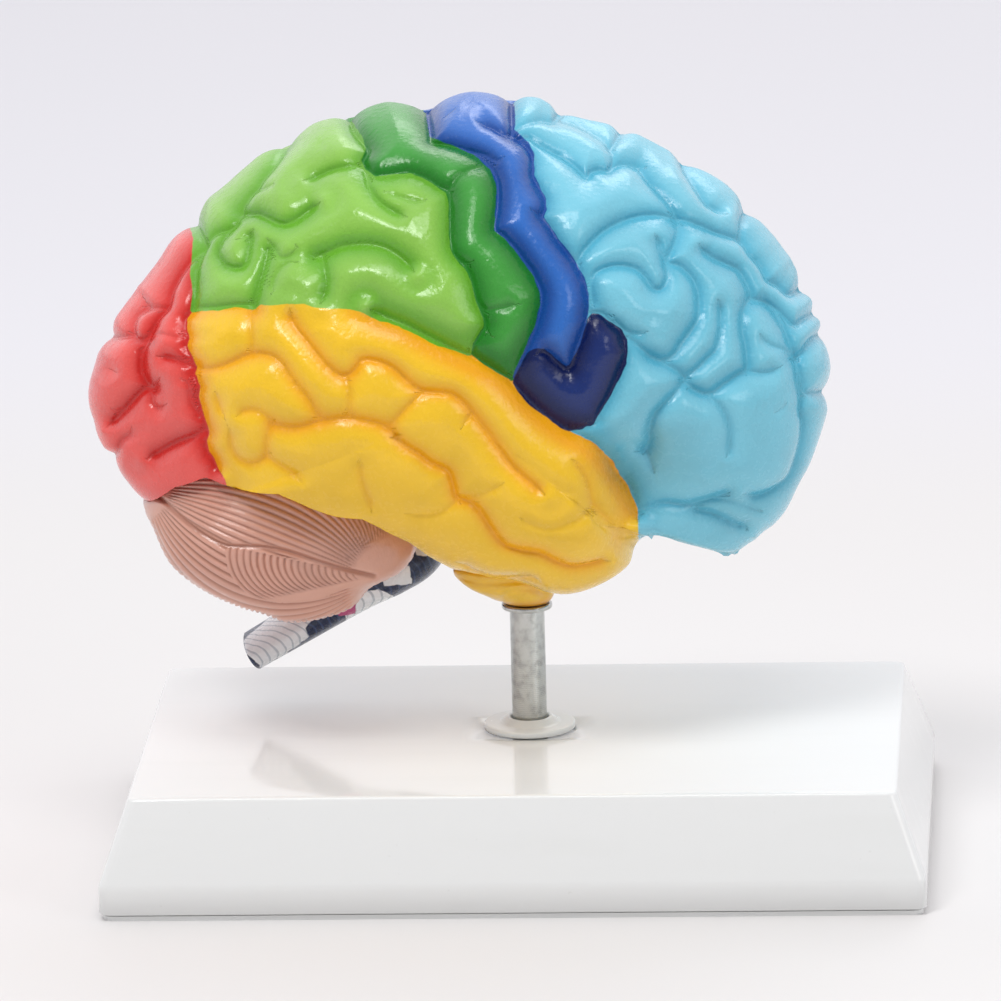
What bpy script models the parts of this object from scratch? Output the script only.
"""Right half of a life-size brain, painted in functional areas, on a swivel stand.

Blender 4.5, metres, +Z up. The origin is the centre of the underside of the base, +X is the
front of the brain, -Y its outer side and +Y the cut middle face. The relief of the outer side
is drawn along routes traced on the side view of the real model, so a route's points are pixels
of that 1001 x 1001 picture; every other size is a real one.
"""

import math

import bmesh
import bpy
import numpy as np
from mathutils import Matrix

MM = 0.001
GAP = 0.3 * MM
SMALL_ROUND = 28
FINE_ROUND = 16

# Base: a moulded shell with sloping sides above an upright band
BASE_LENGTH = 180 * MM
BASE_DEPTH = 120 * MM
BASE_HEIGHT = 26 * MM
BAND_HEIGHT = 7.5 * MM
SLOPE_INSET = 6.5 * MM
CORNER_RADIUS = 2.0 * MM
EDGE_RADIUS = 0.9 * MM
BASE_WALL = 2.4 * MM
SHEET_THICKNESS = 1.0 * MM
SHEET_INSET = 0.8 * MM
FOOT = SHEET_THICKNESS + GAP

# Socket under the top of the base, with its four ribs
SOCKET_RADIUS = 7.0 * MM
SOCKET_BOTTOM = 6.0 * MM
SOCKET_FLOOR = 4.0 * MM
RIB_THICKNESS = 1.6 * MM
RIB_REACH = 22 * MM
RIB_DEPTH = 9 * MM

# Post: a tube with a rolled flange, a threaded plug in its foot, and a collar around it.
# It stands a little off the middle of the base, at POST_X.
POST_X = 1.4 * MM
TUBE_RADIUS = 3.85 * MM
TUBE_WALL = 1.2 * MM
TUBE_RISE = 29.0 * MM
TUBE_TOP = BASE_HEIGHT + TUBE_RISE
FLANGE_RADIUS = 5.6 * MM
FLANGE_THICKNESS = 1.2 * MM
FLANGE_FILLET = 0.5 * MM
COLLAR_RADIUS = 10.2 * MM
COLLAR_RIM = 1.4 * MM
COLLAR_EDGE = 0.5 * MM
COLLAR_HUB = 6.6 * MM
COLLAR_HEIGHT = 2.9 * MM
COLLAR_LIP = 0.7 * MM
PLUG_LENGTH = 11 * MM
TUBE_BORE = TUBE_RADIUS - TUBE_WALL
TUBE_FOOT = SOCKET_BOTTOM + SOCKET_FLOOR + GAP

# Screw and washer that hold the tube down
SCREW_RADIUS = 1.5 * MM
SCREW_LENGTH = 14 * MM
HEAD_RADIUS = 3.0 * MM
HEAD_HEIGHT = 2.0 * MM
SLOT_WIDTH = 0.9 * MM
SLOT_LENGTH = 3.6 * MM
SLOT_DEPTH = 1.1 * MM
WASHER_RADIUS = 4.5 * MM
WASHER_THICKNESS = 0.8 * MM

# Pin cast into the brain, which turns in the tube. The brain is drawn on a flange of SEAT_HEIGHT.
SEAT_HEIGHT = 55.0 * MM
PIN_RADIUS = TUBE_BORE - GAP
PIN_DEPTH = 28 * MM
PIN_BOTTOM = SEAT_HEIGHT - PIN_DEPTH
PIN_TOP = 86 * MM
PIN_CHAMFER = 0.6 * MM

# Stub under the temporal lobe that stands on the flange: radius, height over its foot, and how far
# each ring is moved in x and y, in mm. It widens and leans out under the lobe.
STUB_RINGS = np.array(
    [(5.2, 0, 0, 0), (6.8, 1.2, -0.9, -0.4), (8.4, 2.9, -2.2, -1.0), (10.0, 5.0, -4.1, -1.8),
     (11.0, 7.2, -5.2, -2.0), (9.5, 10.7, -5.2, -2.0)]
) * MM

# Middle plane of the brain, and the height of the face that the cerebellum is bonded to
MIDDLE_Y = 25 * MM
TENT_SLOPE = 0.16
TENT_Y = -28 * MM
TENT_GAP = 0.9 * MM
TENT_LINE = np.array(
    [(-96, 72), (-88, 73), (-82, 77), (-74, 86), (-67, 90), (-60, 89), (-50, 90.5), (-43, 87),
     (-38, 85), (-32, 84), (-27, 79.5), (-22, 76), (-14, 67), (-4, 40)]
) * MM

# Side view: the camera that the routes are traced through
VIEW_AZIMUTH = math.radians(3.56)
VIEW_ELEVATION = math.radians(14.49)
VIEW_ROLL = math.radians(-1.48)
VIEW_DISTANCE = 2.240
VIEW_TARGET = np.array([-0.003855, 0.0, 0.07825])
VIEW_FOCAL = 10152.0
VIEW_CENTRE = 500.5
PIXELS_PER_METRE = VIEW_FOCAL / VIEW_DISTANCE

# Cerebral hemisphere: x, z, y of the rim, and the rounding towards the middle face, in mm
HEMISPHERE_CENTRE = np.array([-10, 110]) * MM
HEMISPHERE_OUTER_Y = -41 * MM
HEMISPHERE_RIM = np.array(
    [(-97, 101, 12, 9), (-94, 110, 12, 9), (-89, 119, 13, 9), (-81, 128.5, 14, 9), (-73.5, 139, 15, 9),
     (-63.5, 148, 16, 9), (-55.5, 155, 17, 9), (-46.5, 159, 17, 9), (-37, 163.5, 17, 9),
     (-24, 164.5, 17, 9), (-9, 166.5, 17, 9), (2, 167, 17, 9), (12.5, 162.5, 17, 9),
     (24, 158.5, 17, 9), (34, 154, 17, 9), (44, 148, 16, 9), (53.5, 139.5, 15, 9), (63, 127.5, 14, 9),
     (69, 116, 12, 9), (70, 105, 10, 9), (69, 95, 9, 9), (65, 82.5, 8, 8), (57.5, 71.5, 6, 8),
     (49.5, 65, 4, 8), (40, 66.5, 2, 8), (32.5, 70.5, -2, 8), (28.5, 71, -8, 8), (25.5, 67, -12, 8),
     (19, 64, -12, 9), (11, 62.2, -11, 9), (2, 63.8, -10, 9), (-8, 64.5, -10, 9), (-16.5, 68.3, -12, 10),
     (-24, 73, -14, 12), (-32, 76, -15, 13), (-42, 78, -16, 13), (-52, 80, -14, 13),
     (-62, 81, -10, 13), (-72, 80, -4, 12), (-82, 79, 4, 10), (-90, 84, 9, 9), (-96, 91.5, 11, 9)]
) * MM
HEMISPHERE_DOME = (2.4, 0.46)
HEMISPHERE_GRID = 150
HEMISPHERE_VOXEL = 0.86 * MM
HEMISPHERE_SHARE = 0.0352

# Smoothing of a casting's dome across the notches of its rim, and the share of the radius it starts at
RIM_STEPS = 8
RIM_SAMPLES = 720
DOME_CALM = math.radians(15)
DOME_CALM_FROM = 0.5

# Hollow of the middle face beside the stem: its upper edge (x, z), how deep it is, and its slope
HOLLOW_LINE = np.array(
    [(-48, 70), (-34, 84), (-24, 86), (-12, 82), (-3, 78), (6, 79), (13, 85), (20, 85), (27, 79),
     (31, 68), (34, 50)]
) * MM
HOLLOW_DEPTH = 19 * MM
HOLLOW_FADE = 9 * MM

# Broad swellings (+) and hollows (-) of the outer side: u, v, radius in pixels, height in mm
SWELLINGS = (
    (560, 520, 75, 4.0),
    (330, 430, 95, 3.0),
    (650, 478, 48, -7.0),
    (700, 530, 60, -3.5),
    (135, 420, 60, -4.5),
    (740, 330, 90, -2.5),
    (560, 395, 42, -3.0),
    (420, 130, 60, 1.0),
)

# How the furrows' sections are drawn: wider and deeper than their figures, with plump folds between
FURROW_SPREAD = 1.45
FURROW_GAIN = 1.15
FURROW_ROUND = 0.62
FURROW_BLEND = 3
OVER_RIM = 0.6

# Routes of the outer side: depth and half width in mm, then pixels along the route
FISSURES = (
    (4.6, 7.5, ((365, 306), (385, 316), (405, 324), (428, 336), (450, 347), (472, 356), (492, 368),
                (511, 381), (530, 401), (550, 418), (569, 430), (591, 441), (612, 461), (628, 486),
                (637, 508), (638, 530))),
    (4.0, 6.5, ((424, 84), (427, 112), (429, 126), (431, 136), (446, 141), (463, 148), (479, 157), (491, 168),
                (497, 181), (498, 200), (496, 216), (495, 230), (505, 238), (515, 248), (525, 262),
                (534, 276), (541, 291), (541, 306), (536, 326), (528, 345), (520, 362), (514, 377))),
    (3.6, 6.0, ((511, 82), (513, 105), (514, 117), (513, 130), (519, 135), (527, 143), (532, 153), (533, 165),
                (533, 176), (539, 188), (545, 199), (545, 209), (542, 217), (549, 226), (557, 239),
                (566, 251), (575, 263), (583, 278), (588, 295), (589, 310), (585, 327), (577, 349),
                (569, 369), (558, 363), (545, 352), (530, 357))),
    (3.4, 5.0, ((590, 313), (602, 314), (612, 324), (620, 330), (625, 345), (626, 356), (620, 372),
                (610, 395), (600, 412), (595, 423), (570, 430))),
    (3.4, 5.5, ((182, 206), (189, 220), (195, 239), (193, 256), (192, 275), (194, 292), (192, 310), (186, 318),
                (186, 330), (188, 338), (186, 346), (191, 357), (196, 367), (194, 374), (199, 386),
                (198, 396), (201, 409), (204, 420), (208, 432), (206, 441), (208, 452), (213, 459),
                (218, 470), (224, 480))),
    (3.6, 6.5, ((343, 98), (350, 116), (358, 128), (364, 137), (367, 148), (363, 160), (366, 168), (376, 175),
                (391, 174), (409, 172), (426, 178), (440, 187), (448, 192), (450, 206), (450, 226),
                (451, 246), (456, 257), (466, 268), (472, 281), (477, 301), (484, 318), (485, 326),
                (480, 335), (474, 344), (472, 354))),
    (2.6, 5.0, ((195, 308), (215, 307), (236, 305), (254, 305))),
)
RED_FURROWS = (
    (3.0, 4.5, ((196, 240), (186, 251), (178, 262), (170, 275), (164, 290), (163, 304), (155, 314),
                (149, 325), (146, 337), (142, 350), (141, 363), (143, 374), (147, 383))),
    (2.2, 3.5, ((160, 305), (150, 304), (143, 303), (139, 296), (138, 286))),
    (2.4, 4.0, ((140, 304), (131, 311), (127, 320), (127, 330), (131, 336), (138, 338), (145, 334),
                (150, 325))),
    (2.4, 4.0, ((95, 330), (107, 333), (118, 333), (126, 332), (133, 338), (140, 341), (146, 340))),
    (1.4, 2.6, ((147, 334), (160, 334), (173, 337), (187, 339))),
    (2.8, 4.0, ((150, 357), (164, 357), (178, 360), (188, 365), (196, 367))),
    (2.4, 3.2, ((138, 350), (139, 362), (140, 372), (146, 382), (153, 387), (158, 379), (163, 374))),
    (1.6, 2.6, ((101, 366), (111, 371), (121, 376))),
    (1.6, 2.6, ((104, 405), (113, 410), (121, 410))),
    (3.0, 4.5, ((100, 432), (107, 424), (116, 418), (127, 407), (137, 396), (144, 390), (153, 388))),
    (2.2, 3.0, ((151, 392), (152, 402), (158, 408), (164, 405), (171, 401))),
    (2.0, 3.0, ((174, 377), (184, 381), (189, 391), (191, 405), (198, 416))),
    (3.0, 4.5, ((140, 461), (152, 456), (164, 449), (177, 442), (190, 437), (206, 430))),
    (2.2, 4.0, ((106, 462), (114, 450), (122, 440), (131, 433), (132, 421))),
)
GREEN_FURROWS = (
    (3.0, 5.0, ((284, 134), (276, 146), (266, 160), (257, 170), (250, 181), (242, 190), (235, 200), (233, 210),
                (230, 218), (222, 224), (210, 227), (202, 233), (196, 240))),
    (2.8, 4.5, ((231, 220), (223, 230), (217, 241), (216, 251), (220, 259), (227, 266), (237, 268),
                (244, 265), (248, 256), (250, 244), (251, 233), (255, 222))),
    (3.2, 5.5, ((234, 206), (245, 210), (256, 212), (268, 218), (281, 224), (293, 221), (303, 215),
                (312, 208), (324, 199))),
    (1.4, 2.5, ((230, 240), (240, 238), (248, 234))),
    (2.0, 3.5, ((265, 232), (268, 240), (275, 250), (281, 258), (290, 256), (296, 249), (294, 238))),
    (3.0, 5.0, ((268, 250), (266, 262), (262, 275), (258, 288), (255, 300), (254, 310))),
    (2.8, 4.5, ((298, 182), (311, 176), (325, 169), (340, 166), (355, 166), (363, 169))),
    (1.8, 3.0, ((317, 136), (321, 144), (324, 151))),
    (1.6, 3.0, ((252, 184), (262, 185), (279, 180))),
    (2.8, 4.0, ((363, 168), (366, 176), (369, 187), (376, 198), (386, 207), (399, 214), (412, 219))),
    (2.0, 3.5, ((378, 188), (391, 194), (406, 199), (420, 201), (432, 197))),
    (3.6, 6.5, ((316, 257), (328, 252), (342, 246), (356, 244), (371, 244), (386, 248), (399, 256),
                (409, 265), (418, 276))),
    (3.0, 4.5, ((322, 256), (325, 270), (326, 285), (322, 300), (319, 310))),
    (1.8, 3.0, ((303, 262), (290, 262), (280, 269), (274, 281), (270, 301))),
    (2.2, 3.5, ((448, 191), (457, 177), (469, 170), (481, 167))),
    (2.0, 3.5, ((456, 258), (467, 263), (478, 257))),
    (2.0, 3.5, ((478, 303), (486, 310), (497, 309), (511, 306), (526, 303))),
    (1.6, 2.6, ((485, 326), (492, 337), (498, 333))),
)
BLUE_FURROWS = (
    (1.6, 2.6, ((438, 114), (449, 108), (459, 103))),
    (2.8, 4.0, ((470, 116), (483, 118), (492, 122), (500, 128), (508, 132), (513, 128))),
    (2.2, 4.0, ((470, 150), (484, 154), (497, 160), (509, 153))),
    (2.0, 3.0, ((526, 203), (534, 211), (541, 217))),
    (1.6, 3.0, ((502, 234), (512, 246), (523, 259), (533, 271))),
)
FRONTAL_FURROWS = (
    (2.4, 4.0, ((514, 131), (519, 121), (530, 116), (545, 113), (557, 114), (566, 100))),
    (3.2, 5.0, ((519, 135), (531, 132), (541, 139), (553, 147), (565, 154), (575, 163), (583, 172),
                (588, 176), (592, 170), (600, 167), (610, 167), (617, 160), (627, 156), (641, 157),
                (656, 160))),
    (2.0, 3.5, ((566, 114), (582, 120), (596, 128), (606, 135), (613, 143), (616, 152), (614, 163))),
    (2.2, 3.5, ((613, 142), (620, 132), (628, 118))),
    (3.2, 5.0, ((645, 161), (651, 174), (660, 188), (669, 201), (676, 216), (678, 232), (674, 246),
                (668, 261), (680, 266), (690, 275), (697, 287), (699, 301), (698, 318), (690, 331),
                (680, 345), (673, 355), (660, 359), (648, 354), (637, 345), (629, 338))),
    (3.0, 5.0, ((677, 218), (690, 221), (705, 226), (720, 231), (735, 233), (749, 237), (756, 250),
                (765, 260), (770, 270), (773, 277), (785, 281), (795, 289), (804, 287), (818, 278))),
    (2.6, 4.0, ((684, 148), (690, 163), (698, 177), (705, 188), (712, 199), (723, 205), (736, 214))),
    (2.6, 4.0, ((760, 192), (751, 207), (748, 221), (749, 235))),
    (3.2, 5.5, ((698, 238), (702, 248), (712, 257), (725, 263), (738, 269), (745, 279), (750, 291),
                (753, 299), (765, 302), (775, 312), (783, 325), (789, 340), (795, 357))),
    (2.8, 4.5, ((765, 301), (778, 308), (789, 317), (799, 323), (810, 316), (824, 308))),
    (2.8, 4.5, ((795, 357), (803, 353), (812, 345), (824, 335), (838, 328))),
    (2.0, 3.5, ((795, 357), (784, 350), (772, 346), (763, 339), (757, 328))),
    (2.4, 4.0, ((798, 362), (804, 374), (808, 385), (812, 393), (840, 391))),
    (2.8, 4.5, ((796, 360), (799, 378), (801, 391), (804, 401), (804, 412), (809, 421), (810, 436),
                (808, 451), (803, 468), (798, 480), (790, 488), (776, 493), (756, 496), (738, 494))),
    (3.2, 5.0, ((577, 262), (583, 252), (591, 243), (600, 234), (612, 226), (625, 220), (640, 216),
                (655, 215), (668, 217), (677, 221))),
    (3.0, 4.5, ((593, 302), (591, 286), (594, 275), (602, 269), (613, 266), (626, 266), (638, 270),
                (646, 278), (652, 287), (658, 290), (664, 286), (667, 277), (666, 264), (660, 245),
                (653, 229))),
    (2.6, 4.0, ((610, 308), (614, 318), (622, 328), (633, 334), (645, 333), (653, 329))),
    (2.8, 4.0, ((714, 294), (719, 303), (721, 316), (720, 334), (716, 349), (706, 359), (697, 368),
                (686, 376))),
    (3.0, 4.5, ((750, 299), (744, 309), (742, 320), (743, 333), (746, 347), (747, 361), (746, 369),
                (735, 376), (723, 384), (711, 392), (698, 391), (688, 384), (680, 373), (665, 364),
                (650, 357))),
    (2.2, 3.5, ((748, 371), (762, 373), (776, 369), (787, 363))),
    (2.8, 4.0, ((684, 382), (675, 392), (665, 402), (655, 413), (650, 426), (650, 440), (646, 448),
                (631, 455))),
    (1.8, 3.0, ((647, 449), (651, 464), (657, 480))),
    (2.2, 3.5, ((692, 389), (706, 396), (718, 404), (726, 416), (730, 429), (730, 441), (728, 453),
                (723, 463))),
    (1.0, 2.5, ((789, 398), (783, 408), (770, 415))),
    (2.6, 4.0, ((638, 511), (651, 506), (665, 502), (685, 504), (700, 501), (713, 497), (726, 493))),
    (1.6, 3.0, ((713, 498), (730, 500), (745, 505), (758, 511), (770, 516))),
    (2.6, 4.0, ((697, 509), (712, 513), (725, 519), (738, 526), (748, 531), (755, 538))),
)
YELLOW_FURROWS = (
    (1.8, 4.0, ((250, 306), (251, 324), (252, 340), (252, 354))),
    (2.4, 5.0, ((197, 370), (215, 368), (230, 363), (243, 357), (253, 354), (263, 354), (274, 357),
                (283, 365), (291, 377), (299, 388), (307, 398), (314, 409), (320, 418))),
    (2.6, 5.0, ((290, 302), (291, 318), (298, 330), (306, 340), (314, 350), (323, 361), (332, 370),
                (342, 376), (351, 374), (358, 366), (363, 360), (376, 361), (391, 367), (402, 376),
                (412, 385), (423, 391), (436, 392), (451, 394), (463, 403), (473, 414), (483, 426),
                (493, 440), (502, 453), (512, 466), (525, 478), (538, 489), (549, 500))),
    (1.8, 3.6, ((343, 377), (349, 388), (350, 400), (350, 417))),
    (2.0, 4.0, ((213, 384), (218, 402), (224, 418), (230, 431), (231, 446), (237, 457), (247, 463),
                (258, 461), (266, 455), (266, 444), (268, 434), (272, 424), (263, 414), (253, 410),
                (242, 412), (231, 421))),
    (2.6, 5.0, ((272, 424), (285, 427), (300, 427), (315, 423), (330, 420), (346, 418), (361, 420),
                (376, 423), (388, 428), (396, 437), (406, 446), (418, 453), (430, 462), (441, 467),
                (449, 472), (453, 484), (457, 497), (470, 502), (480, 511), (488, 523), (496, 535),
                (506, 546), (521, 550), (540, 553), (556, 562), (571, 570), (586, 570), (601, 567),
                (618, 562))),
    (2.0, 4.0, ((389, 427), (396, 419), (405, 410), (413, 402), (422, 393))),
    (1.6, 3.0, ((459, 434), (463, 426), (470, 417))),
    (1.2, 3.0, ((458, 498), (471, 499), (485, 494), (497, 488), (508, 480))),
    (1.2, 3.0, ((457, 502), (446, 510), (431, 514), (415, 514), (400, 513))),
    (1.8, 4.0, ((266, 456), (276, 463), (290, 471), (299, 478), (304, 490))),
    (1.6, 3.6, ((359, 452), (360, 469), (362, 483), (366, 493), (370, 503), (372, 518))),
    (1.8, 3.6, ((566, 456), (578, 466), (586, 478), (590, 491), (593, 503), (601, 513), (611, 523),
                (620, 532))),
    (1.2, 3.0, ((592, 505), (585, 514), (575, 521), (560, 527), (544, 529), (529, 524), (515, 515))),
    (1.6, 3.6, ((452, 562), (470, 575), (488, 583), (510, 584), (530, 583), (546, 588))),
)
OUTER_FURROWS = FISSURES + RED_FURROWS + GREEN_FURROWS + BLUE_FURROWS + FRONTAL_FURROWS + YELLOW_FURROWS

# Routes of the middle face: depth and half width, then x and z along the route, all in mm
MIDDLE_FURROWS = (
    (2.6, 3.0, ((17, 92), (25, 94), (32, 100), (34, 108), (30, 116), (20, 122), (6, 125), (-8, 125),
                (-22, 122), (-34, 116), (-40, 108), (-39, 101), (-33, 98))),
    (2.2, 2.6, ((17, 97), (23, 99), (27, 104), (27, 109), (22, 114), (10, 117), (-6, 118), (-20, 116),
                (-30, 111), (-33, 105), (-31, 101))),
    (3.0, 4.5, ((24, 84), (36, 88), (44, 97), (46, 109), (42, 121), (33, 130), (20, 135), (4, 138),
                (-12, 138), (-26, 136), (-35, 139), (-40, 148), (-42, 160))),
    (2.2, 3.6, ((-36, 132), (-46, 129), (-54, 122), (-57, 113))),
    (3.2, 4.5, ((-40, 100), (-50, 103), (-58, 110), (-65, 120), (-70, 131), (-73, 139))),
    (3.0, 4.5, ((-50, 102), (-61, 101), (-71, 103), (-81, 101), (-92, 104))),
    (2.4, 3.6, ((-4, 138), (-7, 147), (-12, 155), (-14, 165))),
    (2.2, 3.6, ((14, 136), (17, 146), (15, 156), (18, 161))),
    (2.2, 3.6, ((30, 132), (36, 141), (38, 150))),
    (2.2, 3.6, ((43, 121), (50, 128), (57, 131))),
    (2.2, 3.6, ((47, 108), (57, 110), (67, 112))),
    (2.2, 3.6, ((44, 96), (54, 94), (66, 92))),
    (2.2, 3.6, ((32, 78), (44, 80), (58, 80))),
    (2.0, 3.2, ((-50, 131), (-52, 142), (-58, 151))),
    (2.0, 3.2, ((-60, 133), (-67, 139))),
    (2.0, 3.2, ((-68, 92), (-78, 92), (-88, 92))),
    (2.0, 3.2, ((-71, 112), (-80, 116), (-88, 118))),
    (2.0, 3.0, ((-26, 96), (-18, 101), (-8, 104), (4, 103), (12, 98), (14, 91), (8, 86), (-2, 85))),
    (1.4, 2.4, ((-28, 92), (-18, 91), (-8, 91), (2, 92))),
)

# Routes of the underside: depth and half width, then x and y along the route, all in mm
UNDER_FURROWS = (
    (2.4, 4.0, ((14, -6), (0, -5), (-14, -4), (-28, -4), (-42, -6), (-56, -3), (-72, 6))),
    (2.0, 3.6, ((60, 17), (50, 18), (40, 18), (33, 17))),
    (2.0, 3.6, ((56, 4), (48, 6), (40, 4), (36, -2))),
    (1.8, 3.2, ((50, -8), (45, 0), (40, 10))),
)

# Cerebellum, in the same form as the hemisphere
CEREBELLUM_CENTRE = np.array([-53, 76]) * MM
CEREBELLUM_OUTER_Y = -29 * MM
CEREBELLUM_RIM = np.array(
    [(-83, 80, 3, 6), (-81, 74, 1, 6), (-77, 66.5, -3, 6), (-69.5, 61, -6, 6), (-61.5, 57.5, -8, 6),
     (-56, 56, -9, 6), (-50.5, 54, -9, 6), (-44, 54.5, -9, 6), (-36.5, 57, -9, 6), (-32, 61.5, -8, 5),
     (-25, 65, -7, 5), (-22, 70, -6, 5), (-21.5, 77, -4, 5), (-26, 86, 0, 5), (-36, 96, 4, 5),
     (-52, 101, 6, 5), (-68, 99, 6, 5), (-79, 90, 5, 5)]
) * MM
CEREBELLUM_DOME = (2.3, 0.5)
CEREBELLUM_GRID = 110
CEREBELLUM_VOXEL = 0.5 * MM
CEREBELLUM_SHARE = 0.0175
FOLIA_DEPTH = 0.8 * MM
FOLIA_PIXELS = 11.5
FOLIA_FISSURE = ((148, 489), (165, 503), (182, 519), (203, 535), (226, 546), (256, 547), (285, 551),
                 (318, 562), (345, 570), (374, 577))
FOLIA_FISSURE_DEPTH = 1.6 * MM
FOLIA_FISSURE_WIDTH = 2.4 * MM

# Brain stem: x, z, half width in the middle plane and reach from it, in mm, from the top down
STEM_SECTIONS = np.array(
    [(-22.5, 84, 6.0, 13), (-22.5, 74, 6.0, 13), (-22.6, 68, 6.2, 15), (-24.4, 62.6, 7.0, 18),
     (-29.6, 58.2, 6.3, 17.5), (-36, 54, 5.3, 15), (-43.3, 49.3, 4.7, 13), (-52, 43.9, 4.3, 12),
     (-61.6, 38.2, 4.1, 11)]
) * MM
STEM_STEPS = 18
STEM_ROUND = 11


def clear_scene():
    """Removes every object of the scene that Blender starts with."""
    for obj in list(bpy.data.objects):
        bpy.data.objects.remove(obj, do_unlink=True)


def material(name, colour, roughness, metallic=0.0, transmission=0.0):
    """A Principled material with one colour."""
    mat = bpy.data.materials.new(name)
    mat.use_nodes = True
    shader = mat.node_tree.nodes["Principled BSDF"]
    shader.inputs["Base Color"].default_value = (*colour, 1.0)
    shader.inputs["Roughness"].default_value = roughness
    shader.inputs["Metallic"].default_value = metallic
    shader.inputs["Transmission Weight"].default_value = transmission
    mat.diffuse_color = (*colour, 1.0)
    return mat


def mesh_object(name, vertices, faces, mat=None):
    """An object of these vertices and faces, with its normals facing out."""
    mesh = bpy.data.meshes.new(name)
    mesh.from_pydata([tuple(v) for v in vertices], [], [tuple(f) for f in faces])
    work = bmesh.new()
    work.from_mesh(mesh)
    bmesh.ops.recalc_face_normals(work, faces=work.faces)
    work.to_mesh(mesh)
    work.free()
    obj = bpy.data.objects.new(name, mesh)
    bpy.context.scene.collection.objects.link(obj)
    if mat:
        mesh.materials.append(mat)
    return obj


def cutter(obj):
    """Marks an object as a helper that isn't rendered."""
    obj.hide_render = True
    obj.display_type = "WIRE"
    return obj


def boolean(obj, other, operation="DIFFERENCE"):
    """Adds an exact Boolean with another object."""
    step = obj.modifiers.new(f"{operation.lower()} {other.name}", "BOOLEAN")
    step.operation = operation
    step.solver = "EXACT"
    step.object = other
    return step


def bevel(obj, width, segments=2, angle=math.radians(35)):
    """Rounds the object's sharp edges."""
    step = obj.modifiers.new("rounded edges", "BEVEL")
    step.width = width
    step.segments = segments
    step.limit_method = "ANGLE"
    step.angle_limit = angle
    return step


def lathe(name, profile, mat=None, segments=SMALL_ROUND):
    """Turns a closed profile of radius and height about the post's axis; points on it become poles."""
    vertices = []
    rings = []
    for radius, height in profile:
        if radius == 0:
            rings.append([len(vertices)] * segments)
            vertices.append((POST_X, 0.0, height))
            continue
        rings.append(list(range(len(vertices), len(vertices) + segments)))
        for k in range(segments):
            turn = 2 * math.pi * k / segments
            vertices.append((POST_X + radius * math.cos(turn), radius * math.sin(turn), height))
    faces = []
    for here, after in zip(rings, rings[1:] + rings[:1]):
        for k in range(segments):
            corners = [here[k], here[(k + 1) % segments], after[(k + 1) % segments], after[k]]
            face = list(dict.fromkeys(corners))
            if len(face) > 2:
                faces.append(face)
    return mesh_object(name, vertices, faces, mat)


def box(name, low, high, mat=None):
    """A box between two corners."""
    vertices = [(x, y, z) for x in (low[0], high[0]) for y in (low[1], high[1]) for z in (low[2], high[2])]
    faces = [(0, 1, 3, 2), (4, 6, 7, 5), (0, 4, 5, 1), (2, 3, 7, 6), (0, 2, 6, 4), (1, 5, 7, 3)]
    return mesh_object(name, vertices, faces, mat)


def prism(name, outline, low, high, mat=None):
    """A flat outline drawn up from one height to another."""
    count = len(outline)
    vertices = [(x, y, z) for z in (low, high) for x, y in outline]
    faces = [tuple(reversed(range(count))), tuple(range(count, 2 * count))]
    for k in range(count):
        after = (k + 1) % count
        faces.append((k, after, after + count, k + count))
    return mesh_object(name, vertices, faces, mat)


def rounded_rectangle(length, depth, radius, steps=3):
    """Corner points, in order, of a rectangle with rounded corners, centred on the origin."""
    points = []
    corners = ((1, 1, 0), (-1, 1, 90), (-1, -1, 180), (1, -1, 270))
    for side_x, side_y, start in corners:
        centre_x = side_x * (length / 2 - radius)
        centre_y = side_y * (depth / 2 - radius)
        for k in range(steps + 1):
            turn = math.radians(start + 90 * k / steps)
            points.append((centre_x + radius * math.cos(turn), centre_y + radius * math.sin(turn)))
    return points


def stacked(name, levels, mat=None):
    """A closed body through rounded rectangles: length, depth, corner radius and height of each."""
    vertices = []
    for length, depth, radius, height in levels:
        vertices += [(x, y, height) for x, y in rounded_rectangle(length, depth, radius)]
    count = len(vertices) // len(levels)
    faces = [tuple(reversed(range(count))), tuple(range(len(vertices) - count, len(vertices)))]
    for level in range(len(levels) - 1):
        for k in range(count):
            a = level * count + k
            b = level * count + (k + 1) % count
            faces.append((a, b, b + count, a + count))
    return mesh_object(name, vertices, faces, mat)


def smooth_step(low, high, value):
    """0 below low, 1 above high, and a smooth rise between."""
    t = np.clip((value - low) / (high - low), 0, 1)
    return t * t * (3 - 2 * t)


def side_view(points):
    """The pixels (u, v) at which the side view's camera sees the points."""
    cos_e = math.cos(VIEW_ELEVATION)
    back = np.array([math.sin(VIEW_AZIMUTH) * cos_e, -math.cos(VIEW_AZIMUTH) * cos_e,
                     math.sin(VIEW_ELEVATION)])
    right = np.array([math.cos(VIEW_AZIMUTH), math.sin(VIEW_AZIMUTH), 0.0])
    up = np.cross(back, right)
    turned_right = right * math.cos(VIEW_ROLL) + up * math.sin(VIEW_ROLL)
    turned_up = -right * math.sin(VIEW_ROLL) + up * math.cos(VIEW_ROLL)
    offset = points - (VIEW_TARGET + back * VIEW_DISTANCE)
    scale = VIEW_FOCAL / -(offset @ back)
    pixels = np.stack([offset @ turned_right * scale, -(offset @ turned_up) * scale], -1)
    return pixels + VIEW_CENTRE, back


def distance_to_route(points, route):
    """Distance from each 2-D point to the nearest stretch of a route, capped beyond its reach."""
    route = np.asarray(route, float)
    nearest = np.full(len(points), np.inf)
    for start, end in zip(route[:-1], route[1:]):
        along = end - start
        t = np.clip((points - start) @ along / (along @ along), 0, 1)
        gap = points - start - t[:, None] * along
        nearest = np.minimum(nearest, np.hypot(gap[:, 0], gap[:, 1]))
    return nearest


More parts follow.
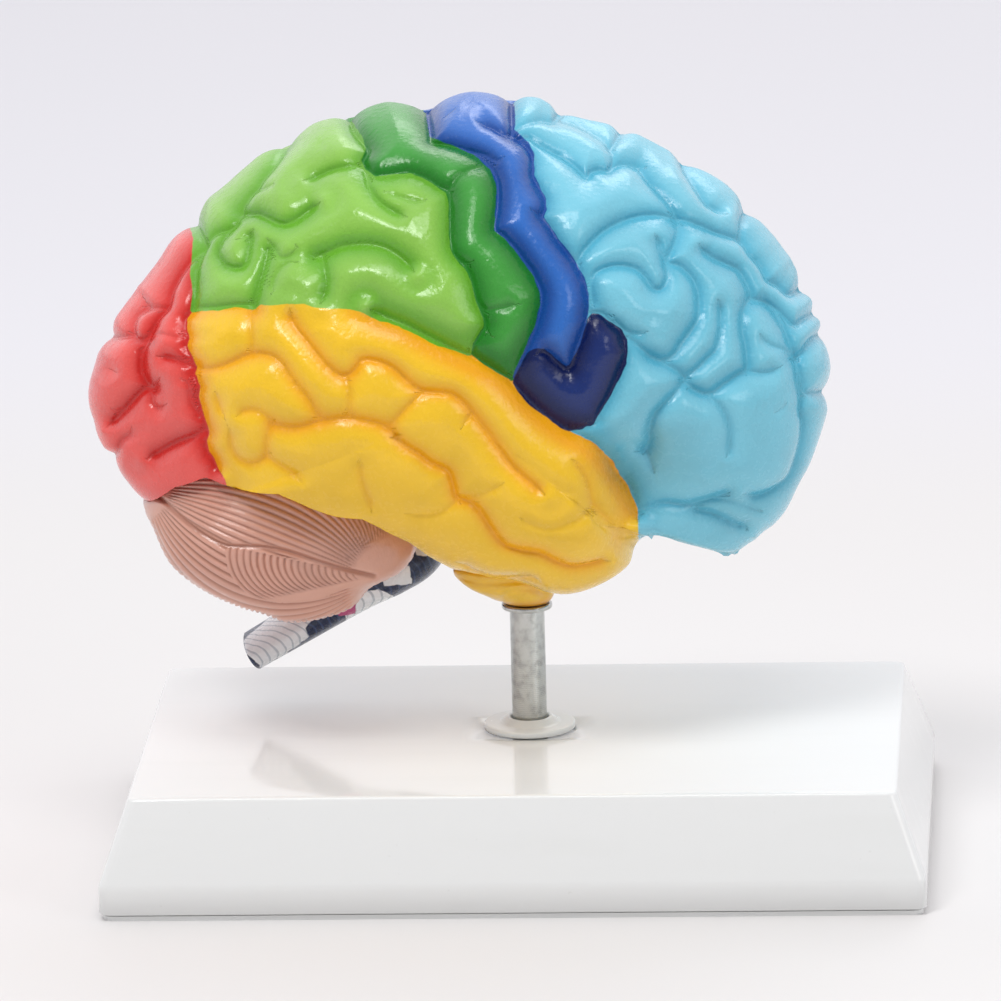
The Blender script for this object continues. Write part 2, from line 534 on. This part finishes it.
def furrow_depth(points, furrows, units_per_metre):
    """Depth of the furrows at each point: plump folds fall to a narrow floor, and furrows that meet
    are added by their cubes, which leaves the ridges between them soft."""
    total = np.zeros(len(points))
    for depth, half_width, route in furrows:
        away = distance_to_route(points, route) / (FURROW_SPREAD * half_width * MM * units_per_metre)
        near = np.clip(1 - away, 0, 1)
        one = depth * FURROW_GAIN * MM * (1 - (1 - near ** 2) ** FURROW_ROUND)
        total += one ** FURROW_BLEND
    return total ** (1 / FURROW_BLEND)


def smooth_rim(rim, centre, angles):
    """Radius, rim y, rounding and calm radius at each angle, on a closed spline through the rim's
    points. The calm radius is averaged with its neighbours, so that a notch makes no crease."""
    before, after, next_one = np.roll(rim, 1, 0), np.roll(rim, -1, 0), np.roll(rim, -2, 0)
    samples = []
    for t in np.linspace(0, 1, RIM_STEPS, endpoint=False):
        second = 2 * before - 5 * rim + 4 * after - next_one
        third = 3 * rim - before - 3 * after + next_one
        samples.append(0.5 * (2 * rim + (after - before) * t + second * t ** 2 + third * t ** 3))
    curve = np.stack(samples, 1).reshape(-1, rim.shape[1])
    offset = curve[:, :2] - centre
    turn = np.arctan2(offset[:, 1], offset[:, 0])
    order = np.argsort(turn)
    columns = [np.hypot(offset[:, 0], offset[:, 1]), curve[:, 2], curve[:, 3]]
    even = np.linspace(-math.pi, math.pi, RIM_SAMPLES, endpoint=False)
    radius = np.interp(even, turn[order], columns[0][order], period=2 * math.pi)
    waves = np.fft.fftfreq(RIM_SAMPLES, 1 / RIM_SAMPLES)
    calm = np.fft.ifft(np.fft.fft(radius) * np.exp(-(waves * DOME_CALM) ** 2 / 2)).real
    found = [np.interp(angles, turn[order], column[order], period=2 * math.pi) for column in columns]
    return found + [np.interp(angles, even, calm, period=2 * math.pi)]


def disc_grid(count):
    """Radius 0 to 1 and angle of a square grid of points that is pressed into a disc."""
    a, b = np.meshgrid(np.linspace(-1, 1, count), np.linspace(-1, 1, count), indexing="ij")
    reach = np.maximum(np.abs(a), np.abs(b))
    wide = np.abs(a) >= np.abs(b)
    safe_a = np.where(a == 0, 1, a)
    safe_b = np.where(b == 0, 1, b)
    angle = np.where(wide, math.pi / 4 * b / safe_a, math.pi / 2 - math.pi / 4 * a / safe_b)
    angle = np.where(wide & (a < 0), angle + math.pi, angle)
    angle = np.where(~wide & (b < 0), angle + math.pi, angle)
    return reach, np.where(reach == 0, 0.0, angle)


def half_casting(rim, centre, outer_y, dome, count, hollow=False):
    """Vertices and faces of a domed outer side and a flat middle face that share one rim, with each
    vertex's share of the way from the rim to the flat."""
    reach, angle = disc_grid(count)
    radius, rim_y, rounding, calm = smooth_rim(rim, centre, angle)
    tau = np.sin(reach * math.pi / 2)
    x = centre[0] + radius * tau * np.cos(angle)
    z = centre[1] + radius * tau * np.sin(angle)
    share = tau * radius / (calm + (radius - calm) * smooth_step(DOME_CALM_FROM, 1, tau))
    outer = rim_y + (outer_y - rim_y) * np.clip(1 - np.clip(share, 0, 1) ** dome[0], 0, 1) ** dome[1]
    inside = np.clip(radius * (1 - tau) / rounding, 0, 1)
    middle_y = MIDDLE_Y - (basal_hollow(x, z) if hollow else 0)
    middle = rim_y + (middle_y - rim_y) * np.sqrt(1 - (1 - inside) ** 2)
    outer_points = np.stack([x, outer, z], -1).reshape(-1, 3)
    middle_points = np.stack([x, middle, z], -1).reshape(-1, 3)
    index = np.arange(count * count).reshape(count, count)
    on_rim = (reach.reshape(-1) > 1 - 1e-9)
    other = np.arange(count * count) + count * count
    other[on_rim] = np.arange(count * count)[on_rim]
    cells = np.stack([index[:-1, :-1], index[1:, :-1], index[1:, 1:], index[:-1, 1:]], -1).reshape(-1, 4)
    faces = np.concatenate([cells, other[cells][:, ::-1]])
    used, faces = np.unique(faces, return_inverse=True)
    vertices = np.concatenate([outer_points, middle_points])[used]
    flatness = np.concatenate([np.zeros(count * count), inside.reshape(-1)])[used]
    return vertices, faces.reshape(-1, 4), flatness


def basal_hollow(x, z):
    """How far the middle face is set back beside the stem."""
    edge = np.interp(x, HOLLOW_LINE[:, 0], HOLLOW_LINE[:, 1])
    return HOLLOW_DEPTH * smooth_step(-HOLLOW_FADE / 2, HOLLOW_FADE / 2, edge - z)


def vertex_normals(vertices, faces):
    """Unit normals, each the sum of its faces' normals."""
    corners = vertices[faces]
    face_normals = np.cross(corners[:, 2] - corners[:, 0], corners[:, 3] - corners[:, 1])
    normals = np.zeros_like(vertices)
    for k in range(4):
        np.add.at(normals, faces[:, k], face_normals)
    normals /= np.linalg.norm(normals, axis=1, keepdims=True)
    outward = np.sign((normals * (vertices - vertices.mean(0))).sum())
    return normals * outward


def tent_height(x, y):
    """Height of the sloping face between the hemisphere and the cerebellum."""
    return np.interp(x, TENT_LINE[:, 0], TENT_LINE[:, 1]) + TENT_SLOPE * (y - TENT_Y)


def hemisphere_points():
    """Vertices and faces of the hemisphere with its swellings and furrows."""
    vertices, faces, flatness = half_casting(HEMISPHERE_RIM, HEMISPHERE_CENTRE, HEMISPHERE_OUTER_Y,
                                             HEMISPHERE_DOME, HEMISPHERE_GRID, hollow=True)
    normals = vertex_normals(vertices, faces)
    pixels, back = side_view(vertices)
    edge_on = np.clip(1.5 * np.hypot(normals[:, 0], np.maximum(normals[:, 2], 0)), 0, 1)
    seen = smooth_step(0, 0.3, normals @ back + 0.2 + OVER_RIM * edge_on)
    seen = seen * (1 - smooth_step(0.4, 0.9, flatness))
    lift = np.zeros(len(vertices))
    for u, v, radius, height in SWELLINGS:
        apart = np.hypot(pixels[:, 0] - u, pixels[:, 1] - v) / radius
        lift += height * MM * np.exp(-apart ** 2)
    vertices = vertices + normals * (lift * seen)[:, None]
    pixels, back = side_view(vertices)
    outer = seen * furrow_depth(pixels, OUTER_FURROWS, PIXELS_PER_METRE)
    facing = smooth_step(0.5, 0.85, normals[:, 1])
    middle = facing * furrow_depth(vertices[:, [0, 2]] / MM, MIDDLE_FURROWS, 1 / MM)
    below = smooth_step(0.35, 0.75, -normals[:, 2]) * (1 - seen)
    under = below * furrow_depth(vertices[:, :2] / MM, UNDER_FURROWS, 1 / MM)
    vertices = vertices - normals * np.maximum(np.maximum(outer, middle), under)[:, None]
    vertices[:, 2] = np.maximum(vertices[:, 2], tent_height(vertices[:, 0], vertices[:, 1]))
    return vertices, faces


def folia(pixels):
    """Depth of the cerebellum's fine folds, which run along its fissure above and below it."""
    apart = distance_to_route(pixels, FOLIA_FISSURE)
    waves = 0.5 + 0.5 * np.cos(2 * math.pi * apart / FOLIA_PIXELS)
    fissure_reach = FOLIA_FISSURE_WIDTH * PIXELS_PER_METRE
    fissure = FOLIA_FISSURE_DEPTH * np.clip(1 - apart / fissure_reach, 0, 1) ** 2
    return np.maximum(FOLIA_DEPTH * waves ** 2, fissure)


def cerebellum_points():
    """Vertices and faces of the cerebellum with its folds."""
    vertices, faces, flatness = half_casting(CEREBELLUM_RIM, CEREBELLUM_CENTRE, CEREBELLUM_OUTER_Y,
                                             CEREBELLUM_DOME, CEREBELLUM_GRID)
    normals = vertex_normals(vertices, faces)
    pixels, back = side_view(vertices)
    shown = 1 - smooth_step(0.4, 0.9, flatness)
    vertices = vertices - normals * (shown * folia(pixels))[:, None]
    ceiling = tent_height(vertices[:, 0], vertices[:, 1]) - TENT_GAP
    vertices[:, 2] = np.minimum(vertices[:, 2], ceiling)
    return vertices, faces


def smooth_path(points, count):
    """Evenly numbered points on an open spline through the given ones."""
    padded = np.concatenate([2 * points[:1] - points[1:2], points, 2 * points[-1:] - points[-2:-1]])
    places = np.linspace(0, len(points) - 1, count)
    piece = np.minimum(places.astype(int), len(points) - 2)
    t = (places - piece)[:, None]
    p0, p1, p2, p3 = (padded[piece + k] for k in range(4))
    second = 2 * p0 - 5 * p1 + 4 * p2 - p3
    third = 3 * p1 - p0 - 3 * p2 + p3
    return 0.5 * (2 * p1 + (p2 - p0) * t + second * t ** 2 + third * t ** 3)


def stem_points(grow=0.0):
    """Vertices and faces of the half stem: D-shaped sections along its middle line."""
    path = smooth_path(STEM_SECTIONS, STEM_STEPS)
    ahead = np.gradient(path[:, :2], axis=0)
    ahead /= np.linalg.norm(ahead, axis=1, keepdims=True)
    side = np.stack([-ahead[:, 1], ahead[:, 0]], -1)
    turns = np.linspace(0, math.pi, STEM_ROUND)
    vertices = []
    for (x, z, half_width, reach), (side_x, side_z) in zip(path, side):
        for turn in turns:
            across = (half_width + grow) * math.cos(turn)
            y = MIDDLE_Y + grow - (reach + 2 * grow) * math.sin(turn) ** 0.8
            vertices.append((x + side_x * across, y, z + side_z * across))
    if grow:
        first = np.array(vertices[:STEM_ROUND])
        last = np.array(vertices[-STEM_ROUND:])
        first[:, [0, 2]] -= ahead[0] * grow
        last[:, [0, 2]] += ahead[-1] * grow
        vertices[:STEM_ROUND] = first.tolist()
        vertices[-STEM_ROUND:] = last.tolist()
    faces = [tuple(range(STEM_ROUND)), tuple(range(len(vertices) - STEM_ROUND, len(vertices)))]
    for level in range(STEM_STEPS - 1):
        for k in range(STEM_ROUND):
            a = level * STEM_ROUND + k
            b = level * STEM_ROUND + (k + 1) % STEM_ROUND
            faces.append((a, b, b + STEM_ROUND, a + STEM_ROUND))
    return np.array(vertices), faces


def fused(obj, voxel, share):
    """Melts the object's shells into one skin, and keeps this share of its faces."""
    skin = obj.modifiers.new("one skin", "REMESH")
    skin.mode = "VOXEL"
    skin.voxel_size = voxel
    fewer = obj.modifiers.new("fewer faces", "DECIMATE")
    fewer.ratio = share


def make_base(plastic):
    """The moulded base shell with its socket and ribs."""
    band = BASE_HEIGHT - BAND_HEIGHT
    top_length = BASE_LENGTH - 2 * SLOPE_INSET
    top_depth = BASE_DEPTH - 2 * SLOPE_INSET
    base = stacked("base_shell", ((BASE_LENGTH, BASE_DEPTH, CORNER_RADIUS, FOOT),
                                  (BASE_LENGTH, BASE_DEPTH, CORNER_RADIUS, BAND_HEIGHT),
                                  (top_length, top_depth, CORNER_RADIUS, BASE_HEIGHT)), plastic)
    bevel(base, EDGE_RADIUS, 2, math.radians(15))
    inner_slope = SLOPE_INSET * (BASE_HEIGHT - BASE_WALL - BAND_HEIGHT) / band
    cavity = cutter(stacked("base_cavity", (
        (BASE_LENGTH - 2 * BASE_WALL, BASE_DEPTH - 2 * BASE_WALL, CORNER_RADIUS, -GAP),
        (BASE_LENGTH - 2 * BASE_WALL, BASE_DEPTH - 2 * BASE_WALL, CORNER_RADIUS, BAND_HEIGHT),
        (BASE_LENGTH - 2 * BASE_WALL - 2 * inner_slope, BASE_DEPTH - 2 * BASE_WALL - 2 * inner_slope,
         CORNER_RADIUS, BASE_HEIGHT - BASE_WALL))))
    boolean(base, cavity)
    inside_top = BASE_HEIGHT - BASE_WALL / 2
    socket = cutter(lathe("base_socket", ((0, SOCKET_BOTTOM), (SOCKET_RADIUS, SOCKET_BOTTOM),
                                          (SOCKET_RADIUS, inside_top), (0, inside_top))))
    boolean(base, socket, "UNION")
    half_rib = RIB_THICKNESS / 2
    for number, (reach_x, reach_y) in enumerate(((RIB_REACH, half_rib), (half_rib, RIB_REACH))):
        rib_foot = BASE_HEIGHT - BASE_WALL - RIB_DEPTH
        rib = cutter(box(f"base_rib_{number}", (POST_X - reach_x, -reach_y, rib_foot),
                         (POST_X + reach_x, reach_y, inside_top)))
        boolean(base, rib, "UNION")
    bore_foot = SOCKET_BOTTOM + SOCKET_FLOOR
    bore = cutter(lathe("base_bore", ((0, bore_foot), (TUBE_RADIUS + GAP, bore_foot),
                                      (TUBE_RADIUS + GAP, 2 * BASE_HEIGHT), (0, 2 * BASE_HEIGHT))))
    boolean(base, bore)
    hole = cutter(lathe("base_screw_hole", ((0, 0), (SCREW_RADIUS + GAP, 0),
                                            (SCREW_RADIUS + GAP, BASE_HEIGHT), (0, BASE_HEIGHT)),
                        segments=FINE_ROUND))
    boolean(base, hole)
    return base


def make_sheet(plastic):
    """The thin sheet that closes the underside of the base."""
    length = BASE_LENGTH - 2 * SHEET_INSET
    depth = BASE_DEPTH - 2 * SHEET_INSET
    return stacked("base_sheet", ((length, depth, CORNER_RADIUS, 0),
                                  (length, depth, CORNER_RADIUS, SHEET_THICKNESS)), plastic)


def make_post(steel, clear):
    """The flanged tube, its collar and the threaded plug in its foot."""
    flange_under = TUBE_TOP - FLANGE_THICKNESS
    edge = FLANGE_THICKNESS / 4
    lathe("post_tube", ((TUBE_BORE, TUBE_FOOT), (TUBE_RADIUS, TUBE_FOOT),
                        (TUBE_RADIUS, flange_under - FLANGE_FILLET),
                        (TUBE_RADIUS + FLANGE_FILLET, flange_under), (FLANGE_RADIUS - edge, flange_under),
                        (FLANGE_RADIUS, flange_under + edge), (FLANGE_RADIUS, TUBE_TOP - edge),
                        (FLANGE_RADIUS - edge, TUBE_TOP), (TUBE_BORE, TUBE_TOP)), steel)
    under = BASE_HEIGHT + GAP
    bore = TUBE_RADIUS + GAP
    rim = under + COLLAR_RIM
    lathe("post_collar", ((bore, under), (COLLAR_RADIUS - COLLAR_EDGE, under),
                          (COLLAR_RADIUS, under + COLLAR_EDGE), (COLLAR_RADIUS, rim - COLLAR_EDGE),
                          (COLLAR_RADIUS - COLLAR_EDGE, rim),
                          (COLLAR_HUB + COLLAR_EDGE, rim), (COLLAR_HUB, rim + COLLAR_EDGE),
                          (bore + COLLAR_LIP, under + COLLAR_HEIGHT),
                          (bore, under + COLLAR_HEIGHT - COLLAR_EDGE)), clear)
    plug_foot = TUBE_FOOT + GAP
    plug_top = plug_foot + PLUG_LENGTH
    lathe("tube_plug", ((SCREW_RADIUS + GAP, plug_foot), (TUBE_BORE - GAP, plug_foot),
                        (TUBE_BORE - GAP, plug_top), (SCREW_RADIUS + GAP, plug_top)), steel, FINE_ROUND)


def make_screw(steel):
    """The pan-head screw and its washer, under the socket's floor."""
    washer_top = SOCKET_BOTTOM - GAP
    washer_foot = washer_top - WASHER_THICKNESS
    lathe("base_washer", ((SCREW_RADIUS + GAP, washer_foot), (WASHER_RADIUS, washer_foot),
                          (WASHER_RADIUS, washer_top), (SCREW_RADIUS + GAP, washer_top)), steel, FINE_ROUND)
    head_top = washer_foot - GAP
    head_foot = head_top - HEAD_HEIGHT
    tip = head_top + SCREW_LENGTH
    screw = lathe("base_screw", ((0, head_foot), (HEAD_RADIUS * 0.7, head_foot),
                                 (HEAD_RADIUS, head_foot + HEAD_HEIGHT * 0.55), (HEAD_RADIUS, head_top),
                                 (SCREW_RADIUS, head_top), (SCREW_RADIUS, tip - SCREW_RADIUS / 2),
                                 (SCREW_RADIUS / 2, tip), (0, tip)), steel, FINE_ROUND)
    arm = SLOT_LENGTH / 2
    half = SLOT_WIDTH / 2
    quarter = ((arm, -half), (arm, half), (half, half))
    cross = []
    for turn in range(4):
        cosine, sine = ((1, 0), (0, 1), (-1, 0), (0, -1))[turn]
        cross += [(POST_X + x * cosine - y * sine, x * sine + y * cosine) for x, y in quarter]
    slot = cutter(prism("screw_slot", cross, head_foot - SLOT_DEPTH, head_foot + SLOT_DEPTH))
    boolean(screw, slot)
    return screw


def make_pin(steel):
    """The pin cast into the brain, which turns in the tube."""
    return lathe("swivel_pin", ((0, PIN_BOTTOM), (PIN_RADIUS - PIN_CHAMFER, PIN_BOTTOM),
                                (PIN_RADIUS, PIN_BOTTOM + PIN_CHAMFER), (PIN_RADIUS, PIN_TOP - PIN_CHAMFER),
                                (PIN_RADIUS - PIN_CHAMFER, PIN_TOP), (0, PIN_TOP)), steel, FINE_ROUND)


def make_hemisphere(paint):
    """The cerebral hemisphere, with the stub that stands on the post and the pin's hole."""
    vertices, faces = hemisphere_points()
    hemisphere = mesh_object("cerebral_hemisphere", vertices, faces, paint)
    fused(hemisphere, HEMISPHERE_VOXEL, HEMISPHERE_SHARE)
    rings = STUB_RINGS + (0, SEAT_HEIGHT + GAP, 0, 0)
    stub = cutter(lathe("hemisphere_stub", [(0, rings[0, 1])] + rings[:, :2].tolist() + [(0, rings[-1, 1])]))
    for vertex in stub.data.vertices:
        vertex.co.x += np.interp(vertex.co.z, rings[:, 1], rings[:, 2])
        vertex.co.y += np.interp(vertex.co.z, rings[:, 1], rings[:, 3])
    boolean(hemisphere, stub, "UNION")
    bore = PIN_RADIUS + GAP
    hole = cutter(lathe("pin_hole", ((0, SEAT_HEIGHT / 2), (bore, SEAT_HEIGHT / 2), (bore, PIN_TOP + GAP),
                                     (0, PIN_TOP + GAP)), segments=FINE_ROUND))
    boolean(hemisphere, hole)
    return hemisphere


def make_cerebellum(paint):
    """The cerebellum, with the hollow that the stem lies in."""
    vertices, faces = cerebellum_points()
    cerebellum = mesh_object("cerebellum", vertices, faces, paint)
    fused(cerebellum, CEREBELLUM_VOXEL, CEREBELLUM_SHARE)
    bed_points, bed_faces = stem_points(GAP)
    bed = cutter(mesh_object("stem_bed", bed_points, bed_faces))
    boolean(cerebellum, bed)
    return cerebellum


def make_stem(paint):
    """The half brain stem, cut off under the hemisphere."""
    vertices, faces = stem_points()
    top = tent_height(vertices[:, 0], vertices[:, 1]) - TENT_GAP
    vertices[:, 2] = np.minimum(vertices[:, 2], np.maximum(top, 74 * MM))
    return mesh_object("brain_stem", vertices, faces, paint)


def build():
    """Makes every part and hangs the turning ones on the swivel axis."""
    clear_scene()
    white = material("white plastic", (0.84, 0.85, 0.84), 0.12)
    clear = material("clear plastic", (0.86, 0.87, 0.88), 0.2, transmission=0.6)
    steel = material("plated steel", (0.72, 0.72, 0.73), 0.22, metallic=1.0)
    areas = material("painted areas", (0.18, 0.58, 0.72), 0.3)
    clay = material("brown paint", (0.5, 0.23, 0.16), 0.35)
    navy = material("navy paint", (0.03, 0.06, 0.18), 0.3)
    make_base(white)
    make_sheet(white)
    make_post(steel, clear)
    make_screw(steel)
    swivel = bpy.data.objects.new("brain_swivel", None)
    bpy.context.scene.collection.objects.link(swivel)
    swivel.location = (POST_X, 0, TUBE_TOP)
    turning = [make_hemisphere(areas), make_cerebellum(clay), make_stem(navy), make_pin(steel)]
    turning += [step.object for piece in turning for step in piece.modifiers if step.type == "BOOLEAN"]
    for piece in turning:
        piece.parent = swivel
        piece.matrix_parent_inverse = Matrix.Translation((-POST_X, 0, -SEAT_HEIGHT))


build()
